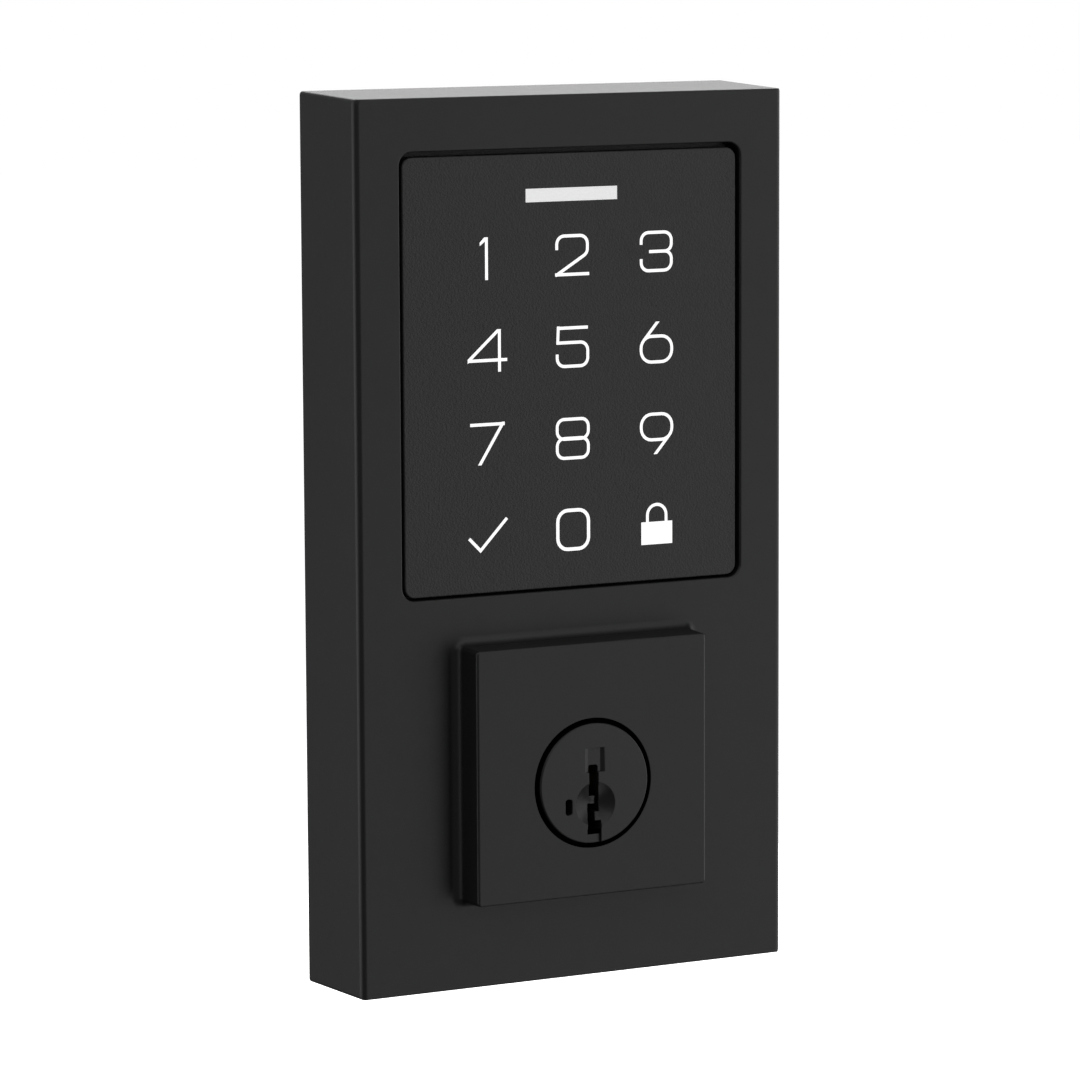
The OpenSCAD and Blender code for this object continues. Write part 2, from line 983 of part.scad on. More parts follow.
front_cover();
back_plate();
door_gasket();
back_plate_screws();
mounting_posts();
cable_grommet();
keypad_panel();
panel_seal();
digit_legends();
symbol_legends();
status_window();
diffuser_film();
light_baffle();
touch_board();
key_leds();
status_leds();
touch_controller();
board_connector();
board_cover();
board_screws();
cylinder_housing();
cylinder_screws();
anti_drill_pins();
plug();
plug_retainer();
driver_cap();
spring_cover();
rack_carriage();
sidebar();
torque_blade();
for (i = [1 : pin_count]) {
    key_pin(i);
    rack(i);
    pin_spring(i);
}
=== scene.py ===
"""Exterior unit of a keypad deadbolt: looks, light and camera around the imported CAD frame."""

import json
import math

import bmesh
import bpy
from mathutils import Matrix, Vector
from mathutils.geometry import tessellate_polygon

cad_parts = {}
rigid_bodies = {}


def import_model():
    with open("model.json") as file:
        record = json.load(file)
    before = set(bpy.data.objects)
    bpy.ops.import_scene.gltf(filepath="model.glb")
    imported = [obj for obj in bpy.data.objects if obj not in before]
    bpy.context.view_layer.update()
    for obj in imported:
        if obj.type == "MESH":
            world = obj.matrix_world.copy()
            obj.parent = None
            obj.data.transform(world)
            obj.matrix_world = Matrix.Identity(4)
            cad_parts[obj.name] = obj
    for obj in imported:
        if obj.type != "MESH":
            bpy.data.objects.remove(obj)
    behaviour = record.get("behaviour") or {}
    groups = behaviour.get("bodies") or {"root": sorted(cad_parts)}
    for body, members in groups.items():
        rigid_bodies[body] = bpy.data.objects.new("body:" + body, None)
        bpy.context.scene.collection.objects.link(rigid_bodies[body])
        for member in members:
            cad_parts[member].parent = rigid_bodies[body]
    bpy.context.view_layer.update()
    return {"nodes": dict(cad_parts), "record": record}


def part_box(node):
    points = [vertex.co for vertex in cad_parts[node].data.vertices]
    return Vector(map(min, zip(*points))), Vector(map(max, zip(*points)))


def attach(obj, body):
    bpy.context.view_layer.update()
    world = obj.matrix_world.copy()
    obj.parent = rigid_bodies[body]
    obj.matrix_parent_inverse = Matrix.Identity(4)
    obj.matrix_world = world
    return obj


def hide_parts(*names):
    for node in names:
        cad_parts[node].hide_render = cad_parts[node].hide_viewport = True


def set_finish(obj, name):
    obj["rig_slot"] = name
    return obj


MM = 0.001

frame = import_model()

# ---- sizes of the cover and the plug, as in the CAD ----

SIDE_TAPER = 0.15 * MM
END_TAPER = 0.6 * MM
BOSS_RISE = 5.6 * MM
FRONT_WALL = 2.4 * MM
SIDE_WALL = 2.2 * MM
BOSS_WALL = 2.2 * MM

SIDE_EDGE_R = 0.9 * MM
END_EDGE_R = 0.3 * MM
CORNER_R = 0.55 * MM
RIM_EDGE_R = 0.15 * MM
CAVITY_CORNER_R = 0.5 * MM

OPENING_HALF_W = 27.9 * MM
OPENING_HALF_H = 32.3 * MM
OPENING_R = 2.0 * MM
OPENING_EDGE_R = 0.3 * MM

BOSS_HALF_W = 18.9 * MM
BOSS_HALF_H = 18.75 * MM
BOSS_Z = 2.0 * MM
BOSS_CORNER_R = 0.6 * MM
BOSS_EDGE_R = 0.4 * MM
BOSS_FILLET = 1.4 * MM
BOSS_DRAFT = math.radians(2)
BORE_R = 9.6 * MM
BORE_EDGE_R = 0.08 * MM
POCKET_HALF_W = 15.3 * MM
POCKET_HALF_H = 15.75 * MM

SCREW_HOLE_R = 1.2 * MM
PLATE_POST_R = 2.0 * MM
PLATE_HEAD_R = 2.0 * MM
PLATE_SCREW_DEPTH = 9.5 * MM
LUG_POST_R = 2.5 * MM
LUG_HEAD_R = 2.2 * MM
LUG_POST_RISE = 3.8 * MM
LUG_HOLE_FLOOR = 0.6 * MM
SPIGOT_HOLE_R = 2.4 * MM
SPIGOT_DEPTH = 1.6 * MM
BOLT_SPACING = 38 * MM

HEAD_R = 8.9 * MM
HEAD_EDGE_R = 0.25 * MM
DISH_X = 0.15 * MM
DISH_Z = -3.1 * MM
DISH_R = 3.25 * MM
DISH_DEPTH = 1.12 * MM
DISH_RIM_SLOPE = 34
DISH_MIDDLE_SLOPE = 22

# ---- places, from the frame ----

cover_lo, cover_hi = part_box("front_cover")
panel_lo, panel_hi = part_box("keypad_panel")
plate_front_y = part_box("back_plate")[0].y
plug_front_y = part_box("plug")[0].y

rim_y = cover_hi.y
boss_y = cover_lo.y
front_y = boss_y + BOSS_RISE
inner_y = front_y + FRONT_WALL
pocket_y = boss_y + BOSS_WALL
mid_z = (cover_lo.z + cover_hi.z) / 2
opening_z = (panel_lo.z + panel_hi.z) / 2
half_w = cover_hi.x - SIDE_TAPER
half_h = (cover_hi.z - cover_lo.z) / 2 - END_TAPER


# ---- mesh helpers ----

CORNER_STEPS = 8
EDGE_STEPS = 7
SMALL_EDGE_STEPS = 4
BORE_SEGMENTS = 96
SMALL_HOLE_SEGMENTS = 32
LEVEL = 0.9995


class Skin:
    """Builds a closed mesh from rings of points joined by strips, and flat faces with holes."""

    def __init__(self):
        self.bm = bmesh.new()

    def ring(self, points):
        return [self.bm.verts.new(p) for p in points]

    def strip(self, a, b):
        for i in range(len(a)):
            j = (i + 1) % len(a)
            self.bm.faces.new((a[i], a[j], b[j], b[i]))

    def sweep(self, rings):
        """Joins rings of points in turn, and returns the vertices of the first and the last."""
        made = [self.ring(r) for r in rings]
        for a, b in zip(made, made[1:]):
            self.strip(a, b)
        return made[0], made[-1]

    def flat(self, *loops):
        """A flat face inside the first loop and outside the others."""
        points = [[(v.co.x, v.co.z, 0) for v in loop] for loop in loops]
        verts = [v for loop in loops for v in loop]
        for tri in tessellate_polygon(points):
            corners = [verts[i] for i in tri]
            if len(set(corners)) == 3:
                self.bm.faces.new(corners)

    def finish(self, name, sharp_deg):
        bmesh.ops.recalc_face_normals(self.bm, faces=self.bm.faces[:])
        return placed(self.bm, name, sharp_deg)


def placed(bm, name, sharp_deg):
    """Turns a bmesh into a smoothly shaded object in the scene."""
    mesh = bpy.data.meshes.new(name)
    bm.to_mesh(mesh)
    bm.free()
    obj = bpy.data.objects.new(name, mesh)
    bpy.context.scene.collection.objects.link(obj)
    smooth(obj, sharp_deg)
    return obj


def smooth(obj, sharp_deg):
    """Smooth shading between faces that meet at less than sharp_deg, led by the larger faces,
    with exact normals on the faces that lie across the Y axis."""
    mesh = obj.data
    mesh.shade_smooth()
    mesh.set_sharp_from_angle(angle=math.radians(sharp_deg))
    weighted = obj.modifiers.new("weighted", "WEIGHTED_NORMAL")
    weighted.mode = "FACE_AREA"
    weighted.keep_sharp = True
    made = obj.evaluated_get(bpy.context.evaluated_depsgraph_get())
    normals = [corner.vector.copy() for corner in made.data.corner_normals]
    obj.modifiers.clear()
    for face in mesh.polygons:
        if abs(face.normal.y) > LEVEL:
            for i in face.loop_indices:
                normals[i] = face.normal
    mesh.normals_split_custom_set(normals)


def rounded_ring(half_x, half_z, radius, depth, centre_z=0.0, shift=None):
    """Points of a rounded rectangle. radius is its corner radius, and depth its place along Y.
    shift(angle) gives (outward move, move along Y) for the outward direction at that angle."""
    points = []
    for quarter in range(4):
        sx = (1, -1, -1, 1)[quarter]
        sz = (1, 1, -1, -1)[quarter]
        cx = sx * (half_x - radius)
        cz = sz * (half_z - radius)
        for step in range(CORNER_STEPS + 1):
            angle = math.radians(90 * (quarter + step / CORNER_STEPS))
            out, along = shift(angle) if shift else (0.0, 0.0)
            reach = radius + out
            points.append((
                cx + reach * math.cos(angle),
                depth + along,
                centre_z + cz + reach * math.sin(angle),
            ))
    return points


def circle_ring(radius, depth, x=0.0, z=0.0, count=BORE_SEGMENTS):
    points = []
    for i in range(count):
        angle = math.tau * i / count
        points.append((x + radius * math.cos(angle), depth, z + radius * math.sin(angle)))
    return points


def quarter_turn(steps, end=math.pi / 2):
    """Angles from 0 to end in equal steps."""
    return [end * i / steps for i in range(steps + 1)]


# ---- the cover ----

def edge_step(radius, taper, part):
    """A point part of the way round a front edge: its inset from the wall's line, and its depth."""
    draft = math.atan(taper / (rim_y - front_y))
    turn = part * (math.pi / 2 - draft)
    inset = (1 - math.sin(draft)) / math.cos(draft)
    return radius * (inset - math.sin(turn)), radius * (1 - math.cos(turn))


def outer_rings():
    """From the front face's border round its edge and down the drafted sides to the rear rim."""
    rings = []
    for step in range(EDGE_STEPS + 1):
        inset_x, deep_x = edge_step(SIDE_EDGE_R, SIDE_TAPER, step / EDGE_STEPS)
        inset_z, deep_z = edge_step(END_EDGE_R, END_TAPER, step / EDGE_STEPS)

        def shift(angle):
            return 0.0, deep_z + (deep_x - deep_z) * math.cos(angle) ** 2
        rings.append(rounded_ring(
            half_w - inset_x, half_h - inset_z, CORNER_R, front_y, mid_z, shift))
    rear_w = half_w + SIDE_TAPER
    rear_h = half_h + END_TAPER
    rings.append(rounded_ring(rear_w, rear_h, CORNER_R, rim_y - RIM_EDGE_R, mid_z))
    rings.append(rounded_ring(
        rear_w - RIM_EDGE_R, rear_h - RIM_EDGE_R, CORNER_R - RIM_EDGE_R, rim_y, mid_z))
    return rings


def boss_rings():
    """From the fillet on the front face up the boss's sides and round its front edge."""
    steps = []
    base_grow = BOSS_RISE * math.tan(BOSS_DRAFT)
    reach = (1 - math.sin(BOSS_DRAFT)) / math.cos(BOSS_DRAFT)
    full_turn = math.pi / 2 - BOSS_DRAFT
    for turn in quarter_turn(EDGE_STEPS, full_turn):
        out = base_grow + BOSS_FILLET * (reach - math.sin(turn))
        steps.append((out, BOSS_FILLET * (1 - math.cos(turn))))
    for turn in quarter_turn(SMALL_EDGE_STEPS, full_turn):
        back = full_turn - turn
        out = BOSS_EDGE_R * (math.sin(back) - reach)
        steps.append((out, BOSS_RISE - BOSS_EDGE_R * (1 - math.cos(back))))
    return [
        rounded_ring(
            BOSS_HALF_W, BOSS_HALF_H, BOSS_CORNER_R, front_y - rise, BOSS_Z,
            lambda angle, out=out: (out, 0))
        for out, rise in steps
    ]


def inward_edge_rings(make, radius, y_front, y_back):
    """The rounded mouth of a hole from the face at y_front, then its wall to y_back.
    make(grow, y) is a ring."""
    mouth = [
        make(radius * (1 - math.sin(turn)), y_front + radius * (1 - math.cos(turn)))
        for turn in quarter_turn(SMALL_EDGE_STEPS)
    ]
    return mouth + [make(0.0, y_back)]


def round_wall(skin, x, z, radius, from_y, to_y):
    """The wall of a small round post or hole. Returns its two end rings."""
    return skin.sweep([
        circle_ring(radius, y, x, z, SMALL_HOLE_SEGMENTS) for y in (from_y, to_y)])


def blind_hole(skin, x, z, radius, mouth_y, floor_y):
    """A round blind hole. Returns the ring of its mouth."""
    mouth, floor = round_wall(skin, x, z, radius, mouth_y, floor_y)
    skin.flat(floor)
    return mouth


def screw_post(skin, x, z, radius, base_y, top_y, hole_y):
    """A round post that stands on a flat wall, with a blind hole. Returns its ring on that wall."""
    foot, top = round_wall(skin, x, z, radius, base_y, top_y)
    skin.flat(top, blind_hole(skin, x, z, SCREW_HOLE_R, top_y, hole_y))
    return foot


def plate_posts(skin):
    """The four corner posts for the back plate's screws."""
    lo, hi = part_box("back_plate_screws")
    hole_y = plate_front_y - PLATE_SCREW_DEPTH
    return [
        screw_post(skin, x, z, PLATE_POST_R, inner_y, plate_front_y, hole_y)
        for x in (lo.x + PLATE_HEAD_R, hi.x - PLATE_HEAD_R)
        for z in (lo.z + PLATE_HEAD_R, hi.z - PLATE_HEAD_R)
    ]


def lug_posts(skin):
    """The two posts in the boss's pocket for the cylinder's screws."""
    lo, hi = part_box("cylinder_screws")
    top_y = pocket_y + LUG_POST_RISE
    hole_y = pocket_y + LUG_HOLE_FLOOR
    places = (
        (lo.x + LUG_HEAD_R, hi.z - LUG_HEAD_R),
        (hi.x - LUG_HEAD_R, lo.z + LUG_HEAD_R),
    )
    return [screw_post(skin, x, z, LUG_POST_R, pocket_y, top_y, hole_y) for x, z in places]


def spigot_holes(skin):
    """The two holes in the front wall that take the mounting posts' spigots."""
    return [
        blind_hole(skin, side * BOLT_SPACING / 2, 0, SPIGOT_HOLE_R, inner_y, inner_y - SPIGOT_DEPTH)
        for side in (-1, 1)
    ]


def straight_rings(half_x, half_z, y_mouth, y_floor, centre_z):
    """The wall of a rectangular cavity."""
    return [
        rounded_ring(half_x, half_z, CAVITY_CORNER_R, y, centre_z) for y in (y_mouth, y_floor)]


def build_cover():
    skin = Skin()
    front_border, rim_outer = skin.sweep(outer_rings())
    boss_foot, boss_border = skin.sweep(boss_rings())

    def opening(grow, y):
        return rounded_ring(
            OPENING_HALF_W + grow, OPENING_HALF_H + grow, OPENING_R + grow, y, opening_z)

    def bore(grow, y):
        return circle_ring(BORE_R + grow, y)

    opening_mouth, opening_back = skin.sweep(
        inward_edge_rings(opening, OPENING_EDGE_R, front_y, inner_y))
    bore_mouth, bore_back = skin.sweep(inward_edge_rings(bore, BORE_EDGE_R, boss_y, pocket_y))
    skin.flat(front_border, opening_mouth, boss_foot)
    skin.flat(boss_border, bore_mouth)

    rim_inner, cavity_back = skin.sweep(
        straight_rings(half_w - SIDE_WALL, half_h - SIDE_WALL, rim_y, inner_y, mid_z))
    skin.flat(rim_outer, rim_inner)
    pocket_mouth, pocket_floor = skin.sweep(
        straight_rings(POCKET_HALF_W, POCKET_HALF_H, inner_y, pocket_y, BOSS_Z))
    corner_feet = plate_posts(skin)
    lug_feet = lug_posts(skin)
    skin.flat(cavity_back, opening_back, pocket_mouth, *corner_feet, *spigot_holes(skin))
    skin.flat(pocket_floor, bore_back, *lug_feet)
    cover = skin.finish("cover_shell", sharp_deg=30)
    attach(cover, "exterior_housing")
    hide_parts("front_cover")
    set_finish(cover, "black_coat")


# ---- finer copies of CAD pieces ----

MERGE_DISTANCE = 0.5e-6
FLAT_DEG = 0.5


def fine_copy(node, name, body, slot, width, segments, min_deg, sharp_deg, keep):
    """A copy of a CAD node with its crisp edges rounded by width: those that turn by more than
    min_deg and pass keep(edge)."""
    source = frame["nodes"][node]
    bm = bmesh.new()
    bm.from_mesh(source.data)
    bmesh.ops.remove_doubles(bm, verts=bm.verts[:], dist=MERGE_DISTANCE)
    bmesh.ops.dissolve_limit(
        bm, angle_limit=math.radians(FLAT_DEG), verts=bm.verts[:], edges=bm.edges[:])
    bm.normal_update()
    crisp = [
        e for e in bm.edges
        if len(e.link_faces) == 2 and e.calc_face_angle() > math.radians(min_deg) and keep(e)
    ]
    bmesh.ops.bevel(
        bm, geom=crisp, offset=width, offset_type="OFFSET", segments=segments, profile=0.5,
        affect="EDGES", clamp_overlap=False)
    obj = placed(bm, name, sharp_deg)
    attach(obj, body)
    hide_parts(node)
    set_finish(obj, slot)
    return obj


# Which edges of the panel and of the plug are rounded.
NEAR_FRONT = 0.05 * MM
PANEL_RIM_X = 26.0 * MM
PANEL_RIM_Z = 29.0 * MM
PLUG_CUTS_DEPTH = 1.1 * MM
PLUG_CUTS_R = 8.3 * MM

# Which faces of the plug's front are flat, and which are part of its dish.
FLAT_TILT = 0.001
FLAT_FACING = 0.5
FLAT_AREA = 1.0 * MM * MM
DISH_AIM_LOW = 0.2
DISH_AIM_HIGH = 0.6
DISH_AIM_SLACK = 0.003


def front_rim_of_panel(edge):
    """The border of the panel's front face."""
    ends = [v.co for v in edge.verts]
    at_front = all(abs(p.y - panel_lo.y) < NEAR_FRONT for p in ends)
    return at_front and any(
        abs(p.x) > PANEL_RIM_X or abs(p.z - opening_z) > PANEL_RIM_Z for p in ends)


def front_cut_of_plug(edge):
    """The rims of the cuts in the plug's face, down to the floor of the dish."""
    return edge.is_convex and all(
        v.co.y < plug_front_y + PLUG_CUTS_DEPTH and math.hypot(v.co.x, v.co.z) < PLUG_CUTS_R
        for v in edge.verts)


def from_dish_axis(point):
    return Vector((point.x - DISH_X, 0, point.z - DISH_Z))


def dish_normal(point):
    """The outward normal of the round dish at a point on it, which is steeper towards its rim."""
    offset = from_dish_axis(point)
    outwards = (offset.length / DISH_R) ** 2
    slope = math.radians(DISH_MIDDLE_SLOPE + (DISH_RIM_SLOPE - DISH_MIDDLE_SLOPE) * outwards)
    return -offset.normalized() * math.sin(slope) + Vector((0, -math.cos(slope), 0))


def is_flat(face):
    """Whether a face is the plug's front, or the floor or a side of the pocket above the keyway."""
    upright = abs(face.normal.z) < FLAT_TILT
    return upright and -face.normal.y > FLAT_FACING and face.area > FLAT_AREA


def is_dish(face):
    """Whether a face is part of the round dish: it faces the dish's axis and the front."""
    offset = from_dish_axis(face.center)
    aim = face.normal.dot(-offset.normalized())
    inside = offset.length < DISH_R and 0 < face.center.y - plug_front_y < DISH_DEPTH
    towards_axis = abs(math.hypot(aim, face.normal.y) - 1) < DISH_AIM_SLACK
    return inside and DISH_AIM_LOW < aim < DISH_AIM_HIGH and towards_axis


def even_plug_normals(obj):
    """Exact normals on the flat faces and the round dish of the plug's front."""
    mesh = obj.data
    normals = [corner.vector.copy() for corner in mesh.corner_normals]
    for face in mesh.polygons:
        flat, dish = is_flat(face), is_dish(face)
        for i in face.loop_indices:
            if flat:
                normals[i] = face.normal
            elif dish:
                normals[i] = dish_normal(mesh.vertices[mesh.loops[i].vertex_index].co)
    mesh.normals_split_custom_set(normals)


def add_fine_pieces():
    fine_copy(
        "keypad_panel", "panel_plate", "exterior_housing", "panel_plastic", width=0.25 * MM,
        segments=6, min_deg=30, sharp_deg=5, keep=front_rim_of_panel)
    plug = fine_copy(
        "plug", "plug_turned", "plug", "plug_coat", width=0.13 * MM,
        segments=4, min_deg=27, sharp_deg=25, keep=front_cut_of_plug)
    even_plug_normals(plug)


# ---- materials ----

# Painted shade in the groove round the plug: its near-black colour and its low specular level.
GROOVE_SHADE_LEVEL = 0.002
GROOVE_SHADE_SPECULAR = 0.04
FINEST_GRAIN = 0.16 * MM


def new_material(name):
    mat = bpy.data.materials.new(name)
    mat.use_nodes = True
    tree = mat.node_tree
    return mat, tree, tree.nodes["Principled BSDF"]


def object_coords(tree):
    return tree.nodes.new("ShaderNodeTexCoord").outputs["Object"]


def noise(tree, size, detail=2.0, roughness=0.5):
    """Noise whose features are about size metres across, in the object's own space."""
    node = tree.nodes.new("ShaderNodeTexNoise")
    node.inputs["Scale"].default_value = 1.0 / size
    node.inputs["Detail"].default_value = detail
    node.inputs["Roughness"].default_value = roughness
    tree.links.new(object_coords(tree), node.inputs["Vector"])
    return node.outputs["Fac"]


def ramp(tree, value, *stops):
    """Maps a value to colours. Each of the two stops is (place, colour)."""
    node = tree.nodes.new("ShaderNodeValToRGB")
    for element, (place, colour) in zip(node.color_ramp.elements, stops):
        element.position = place
        element.color = (*colour, 1)
    tree.links.new(value, node.inputs["Fac"])
    return node.outputs["Color"]


def spread(tree, value, low, high):
    """Maps a value from 0..1 to low..high."""
    node = tree.nodes.new("ShaderNodeMapRange")
    node.inputs["To Min"].default_value = low
    node.inputs["To Max"].default_value = high
    tree.links.new(value, node.inputs["Value"])
    return node.outputs["Result"]


def maths(tree, operation, first, second):
    """A math node's result. second is a number or another node's output."""
    node = tree.nodes.new("ShaderNodeMath")
    node.operation = operation
    tree.links.new(first, node.inputs[0])
    if isinstance(second, float):
        node.inputs[1].default_value = second
    else:
        tree.links.new(second, node.inputs[1])
    return node.outputs["Value"]


def bump(tree, shader, height, depth, strength):
    """Adds a bump to those that the shader has. depth is in metres."""
    node = tree.nodes.new("ShaderNodeBump")
    node.inputs["Distance"].default_value = depth
    node.inputs["Strength"].default_value = strength
    tree.links.new(height, node.inputs["Height"])
    socket = shader.inputs["Normal"]
    if socket.is_linked:
        tree.links.new(socket.links[0].from_socket, node.inputs["Normal"])
    tree.links.new(node.outputs["Normal"], socket)


def set_colour(tree, shader, tone):
    tree.links.new(tone, shader.inputs["Base Color"])


def set_gloss(tree, shader, pattern, low, high):
    """Makes the roughness follow a pattern from low to high."""
    tree.links.new(spread(tree, pattern, low, high), shader.inputs["Roughness"])


def grey(level, tint=0.0):
    return (level, level, level * (1 + tint))


def groove_shade_mask(tree, depth_y, inner_r, outer_r):
    """Where painted shade goes in the groove round the plug: 1 behind the depth y and between two radii
    about the plug's axis, 0 elsewhere.
    """
    split = tree.nodes.new("ShaderNodeSeparateXYZ")
    tree.links.new(object_coords(tree), split.inputs["Vector"])
    flat = tree.nodes.new("ShaderNodeCombineXYZ")
    tree.links.new(split.outputs["X"], flat.inputs["X"])
    tree.links.new(split.outputs["Z"], flat.inputs["Z"])
    length = tree.nodes.new("ShaderNodeVectorMath")
    length.operation = "LENGTH"
    tree.links.new(flat.outputs["Vector"], length.inputs[0])
    radius = length.outputs["Value"]
    behind = maths(tree, "GREATER_THAN", split.outputs["Y"], depth_y)
    outside = maths(tree, "GREATER_THAN", radius, inner_r)
    inside = maths(tree, "LESS_THAN", radius, outer_r)
    return maths(tree, "MULTIPLY", maths(tree, "MULTIPLY", behind, outside), inside)


def painted_groove_shade(tree, tone, mask):
    """The tone, but nearly black where the mask is 1: painted shade in the groove round the plug."""
    mix = tree.nodes.new("ShaderNodeMix")
    mix.data_type = "RGBA"
    result = [o for o in mix.outputs if o.type == "RGBA"][0]
    first, second = [i for i in mix.inputs if i.type == "RGBA"]
    second.default_value = (*grey(GROOVE_SHADE_LEVEL), 1)
    tree.links.new(mask, mix.inputs["Factor"])
    tree.links.new(tone, first)
    return result


def powder_coat(name, level, rough, specular, recess):
    """Satin powder coat: a fine orange peel, a slight mottle in tone and gloss. recess gives the depth
    and the two radii of the groove round the plug, which gets painted shade: nearly black and dull."""
    mat, tree, shader = new_material(name)
    dark, light = grey(level * 0.9, tint=0.02), grey(level * 1.12, tint=0.02)
    tone = ramp(tree, noise(tree, size=9 * MM, detail=3), (0.3, dark), (0.7, light))
    # Painted shade: the groove round the plug is made nearly black and dull.
    mask = groove_shade_mask(tree, *recess)
    set_colour(tree, shader, painted_groove_shade(tree, tone, mask))
    shine = spread(tree, mask, specular, GROOVE_SHADE_SPECULAR)
    tree.links.new(shine, shader.inputs["Specular IOR Level"])
    set_gloss(tree, shader, noise(tree, size=1.2 * MM), low=rough - 0.03, high=rough + 0.03)
    bump(tree, shader, noise(tree, size=0.35 * MM), depth=0.012 * MM, strength=0.6)
    bump(tree, shader, noise(tree, size=FINEST_GRAIN, detail=1), depth=0.006 * MM, strength=0.5)
    return mat


def grained_plastic(name, level, rough, specular, grain):
    """Moulded black plastic with a fine leather grain."""
    mat, tree, shader = new_material(name)
    cells = tree.nodes.new("ShaderNodeTexVoronoi")
    cells.feature = "SMOOTH_F1"
    cells.inputs["Scale"].default_value = 1.0 / grain
    cells.inputs["Smoothness"].default_value = 0.6
    tree.links.new(object_coords(tree), cells.inputs["Vector"])
    pattern = cells.outputs["Distance"]
    light, dark = grey(level * 1.15), grey(level * 0.85)
    set_colour(tree, shader, ramp(tree, pattern, (0.0, light), (0.8, dark)))
    set_gloss(tree, shader, noise(tree, size=2 * MM), low=rough - 0.03, high=rough + 0.04)
    shader.inputs["Specular IOR Level"].default_value = specular
    bump(tree, shader, pattern, depth=0.05 * MM, strength=0.7)
    bump(tree, shader, noise(tree, size=FINEST_GRAIN), depth=0.016 * MM, strength=0.7)
    return mat


def white_with_painted_glow(name, level, glow, speckle):
    """White translucent plastic with a painted glow: its emission makes it brighter than the lamps
    alone do.
    """
    mat, tree, shader = new_material(name)
    dots = noise(tree, size=0.25 * MM, roughness=0.7)
    dark, light = grey(level - speckle), grey(min(1.0, level + speckle))
    tone = ramp(tree, dots, (0.35, dark), (0.65, light))
    set_colour(tree, shader, tone)
    # Painted glow: the emission lifts the white above what the lamps give it.
    tree.links.new(tone, shader.inputs["Emission Color"])
    shader.inputs["Emission Strength"].default_value = glow
    set_gloss(tree, shader, dots, low=0.45, high=0.6)
    bump(tree, shader, dots, depth=0.004 * MM, strength=0.3)
    return mat


def metal(name, colour, rough, grain=0.25 * MM, relief=0.004 * MM, recess=None):
    """Bare or plated metal: dull patches, and a grain of the given size and depth.
    recess gives the groove round the plug, which painted shade makes nearly black."""
    mat, tree, shader = new_material(name)
    patches = noise(tree, size=4 * MM, detail=4, roughness=0.6)
    dark = tuple(c * 0.72 for c in colour)
    tone = ramp(tree, patches, (0.3, dark), (0.65, colour))
    shader.inputs["Metallic"].default_value = 1.0
    # Painted shade: the groove round the plug is made nearly black.
    if recess:
        tone = painted_groove_shade(tree, tone, groove_shade_mask(tree, *recess))
    set_colour(tree, shader, tone)
    set_gloss(tree, shader, noise(tree, size=1.5 * MM, detail=3), low=rough - 0.08, high=rough + 0.1)
    bump(tree, shader, noise(tree, size=grain, detail=3, roughness=0.65), depth=relief, strength=0.6)
    return mat


def plain_plastic(name, colour, rough, specular=0.5):
    """Moulded plastic, rubber or board: small changes of tone and gloss, and a fine skin."""
    mat, tree, shader = new_material(name)
    light = tuple(min(1.0, c * 1.15) for c in colour)
    tone = ramp(tree, noise(tree, size=3 * MM, detail=3), (0.3, colour), (0.7, light))
    set_colour(tree, shader, tone)
    set_gloss(tree, shader, noise(tree, size=0.8 * MM), low=rough - 0.05, high=rough + 0.05)
    shader.inputs["Specular IOR Level"].default_value = specular
    bump(tree, shader, noise(tree, size=0.3 * MM), depth=0.006 * MM, strength=0.4)
    return mat


def paint(obj, mat):
    obj.data.materials.clear()
    obj.data.materials.append(mat)


# ---- light, floor and camera ----

CAMERA_AT = Vector((-0.339109, -0.658783, 0.130525))
CAMERA_AZIMUTH = math.radians(27.5074)
CAMERA_ELEVATION = math.radians(7.4962)
CAMERA_ROLL = math.radians(-0.2784)
SENSOR = 36.0
LENS = 166.6056
CLIP_NEAR = 0.01
CLIP_FAR = 20
FLOOR_DROP = 0.25
FLOOR_SIZE = 12
WHITE = (1, 1, 1, 1)

# Panels of the light tent: azimuth and elevation in degrees, radiance.
TENT = (
    (-150, 38, 2.39), (-150, -4, 1.67), (-120, -4, 1.5), (-90, -4, 1.2), (-60, -4, 1.04),
    (-30, 70, 0.4), (-30, 38, 0.7), (-30, -4, 0.85), (-30, -45, 0.7), (30, 38, 0.78),
    (90, 38, 0.78), (95, -4, 1.05), (125, -4, 1.14), (150, 38, 0.3),
)
TENT_RADIUS = 1.4
TENT_FILL = 0.1
LEVEL_ROW_DEG = 30
LEVEL_HALF_ANGLE = math.radians(14)
STEEP_HALF_ANGLE = math.radians(20)


def add_camera():
    ca, sa = math.cos(CAMERA_AZIMUTH), math.sin(CAMERA_AZIMUTH)
    ce, se = math.cos(CAMERA_ELEVATION), math.sin(CAMERA_ELEVATION)
    back = Vector((-sa * ce, -ca * ce, se))
    right = Vector((ca, -sa, 0))
    up = back.cross(right)
    cr, sr = math.cos(CAMERA_ROLL), math.sin(CAMERA_ROLL)
    right, up = cr * right + sr * up, cr * up - sr * right
    data = bpy.data.cameras.new("camera")
    data.sensor_width = SENSOR
    data.lens = LENS
    data.clip_start = CLIP_NEAR
    data.clip_end = CLIP_FAR
    cam = bpy.data.objects.new("camera", data)
    cam.matrix_world = Matrix((
        (right.x, up.x, back.x, CAMERA_AT.x),
        (right.y, up.y, back.y, CAMERA_AT.y),
        (right.z, up.z, back.z, CAMERA_AT.z),
        (0, 0, 0, 1),
    ))
    bpy.context.scene.collection.objects.link(cam)
    bpy.context.scene.camera = cam


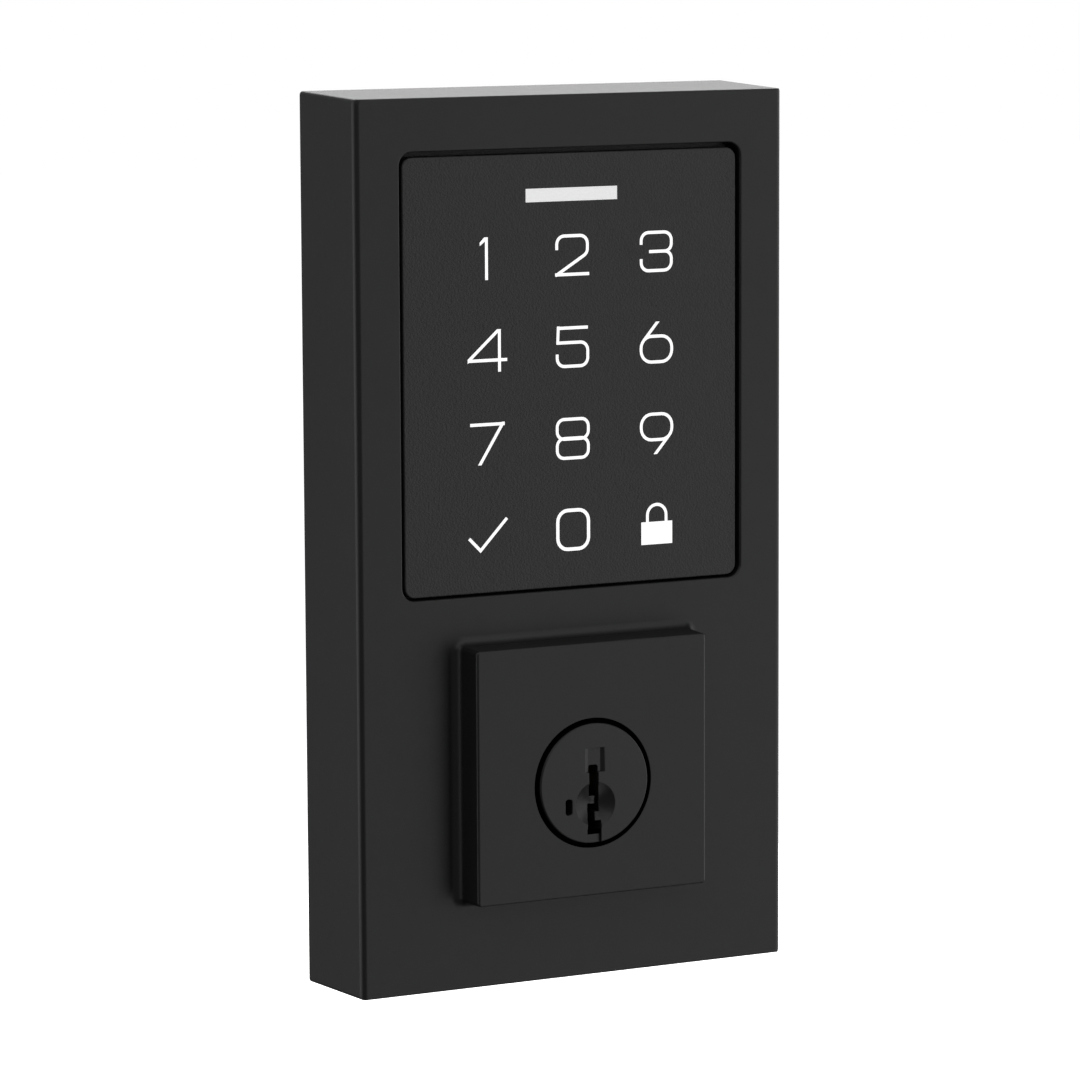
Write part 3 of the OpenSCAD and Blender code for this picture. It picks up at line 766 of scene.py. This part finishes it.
def softbox(name, azimuth, elevation, distance, width, height, radiance):
    """An area light that faces the object. Azimuth is degrees from -Y towards -X, the camera's side."""
    a, e = math.radians(azimuth), math.radians(elevation)
    out = Vector((-math.sin(a) * math.cos(e), -math.cos(a) * math.cos(e), math.sin(e)))
    data = bpy.data.lights.new(name, "AREA")
    data.shape = "RECTANGLE"
    data.size = width
    data.size_y = height
    data.energy = radiance * math.pi * width * height
    lamp = bpy.data.objects.new(name, data)
    centre = Vector((0, 0, mid_z))
    lamp.location = centre + out * distance
    lamp.rotation_euler = out.to_track_quat("Z", "Y").to_euler()
    lamp.visible_camera = False
    bpy.context.scene.collection.objects.link(lamp)


def backdrop(node, strength):
    """Makes a world background white, and returns its output."""
    node.inputs["Color"].default_value = WHITE
    node.inputs["Strength"].default_value = strength
    return node.outputs["Background"]


def add_light():
    for i, (azimuth, elevation, radiance) in enumerate(TENT):
        half_angle = LEVEL_HALF_ANGLE if abs(elevation) < LEVEL_ROW_DEG else STEEP_HALF_ANGLE
        width = 2 * TENT_RADIUS * math.tan(half_angle)
        height = 2 * TENT_RADIUS * math.tan(STEEP_HALF_ANGLE)
        softbox(f"tent_{i}", azimuth, elevation, TENT_RADIUS, width, height, radiance)
    world = bpy.data.worlds.new("studio")
    bpy.context.scene.world = world
    world.use_nodes = True
    tree = world.node_tree
    seen = backdrop(tree.nodes["Background"], 1.0)
    fill = backdrop(tree.nodes.new("ShaderNodeBackground"), TENT_FILL)
    path = tree.nodes.new("ShaderNodeLightPath")
    mix = tree.nodes.new("ShaderNodeMixShader")
    tree.links.new(path.outputs["Is Camera Ray"], mix.inputs["Fac"])
    tree.links.new(fill, mix.inputs[1])
    tree.links.new(seen, mix.inputs[2])
    tree.links.new(mix.outputs["Shader"], tree.nodes["World Output"].inputs["Surface"])


def add_floor():
    """A pale floor, far enough below to take no shadow, that glows as white as the backdrop."""
    place = (0, 0, cover_lo.z - FLOOR_DROP)
    bpy.ops.mesh.primitive_plane_add(size=FLOOR_SIZE, location=place)
    floor = bpy.context.object
    floor.name = "floor"
    mat, tree, shader = new_material("pale_floor")
    set_colour(tree, shader, ramp(tree, noise(tree, size=0.4), (0.3, grey(0.9)), (0.7, grey(0.93))))
    shader.inputs["Roughness"].default_value = 0.9
    shader.inputs["Emission Color"].default_value = WHITE
    shader.inputs["Emission Strength"].default_value = 1.0
    paint(floor, mat)
    floor.visible_glossy = False
    floor.visible_diffuse = False


# ---- making it all ----

STEEL = (0.55, 0.56, 0.57)

# Where painted shade darkens the groove round the plug, on each piece that lines it: depth, inner and
# outer radius.
GROOVE_MARGIN = 0.05 * MM
COVER_GROOVE_SHADE = (boss_y + BORE_EDGE_R, 0.0, BORE_R + BORE_EDGE_R)
PLUG_GROOVE_SHADE = (plug_front_y + HEAD_EDGE_R, HEAD_R - GROOVE_MARGIN, BORE_R)
HOUSING_GROOVE_SHADE = (boss_y, 8.2 * MM, 10.4 * MM)

def build_finishes():
    return {
        "black_coat": powder_coat(
            "black_coat", level=0.0085, rough=0.42, specular=0.5, recess=COVER_GROOVE_SHADE),
        "plug_coat": powder_coat(
            "plug_coat", level=0.0085, rough=0.38, specular=0.5, recess=PLUG_GROOVE_SHADE),
        "panel_plastic": grained_plastic(
            "panel_plastic", level=0.018, rough=0.46, specular=0.55, grain=0.3 * MM),
        "inner_plastic": plain_plastic("inner_plastic", (0.02, 0.02, 0.02), rough=0.5),
        "legend_white": white_with_painted_glow("legend_white", level=0.6, glow=1.38, speckle=0.02),
        "window_white": white_with_painted_glow("window_white", level=0.74, glow=0.62, speckle=0.06),
        "film": plain_plastic("film", (0.8, 0.8, 0.8), rough=0.6),
        "board": plain_plastic("board", (0.02, 0.12, 0.05), rough=0.35),
        "led": plain_plastic("led", (0.8, 0.78, 0.6), rough=0.2),
        "chip": plain_plastic("chip", (0.02, 0.02, 0.02), rough=0.5),
        "connector_plastic": plain_plastic("connector_plastic", (0.7, 0.66, 0.55), rough=0.4),
        "rubber": plain_plastic("rubber", (0.018, 0.018, 0.019), rough=0.75, specular=0.3),
        "zinc": metal(
            "zinc", (0.42, 0.43, 0.44), rough=0.5, grain=0.35 * MM, relief=0.02 * MM,
            recess=HOUSING_GROOVE_SHADE),
        "zinc_plate": metal("zinc_plate", STEEL, rough=0.32),
        "steel": metal("steel", (0.5, 0.5, 0.51), rough=0.3),
        "spring_steel": metal("spring_steel", STEEL, rough=0.25),
        "brass": metal("brass", (0.7, 0.5, 0.22), rough=0.3),
    }


add_camera()
add_light()
add_floor()
finishes = build_finishes()
slots = {row["node"]: row["material_slot"] for row in frame["record"]["subparts"]}
for node, obj in frame["nodes"].items():
    paint(obj, finishes[slots[node]])
build_cover()
add_fine_pieces()
for obj in bpy.data.objects:
    if obj.type == "MESH" and "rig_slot" in obj:
        paint(obj, finishes[obj["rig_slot"]])

bpy.context.scene.view_settings.view_transform = "Standard"
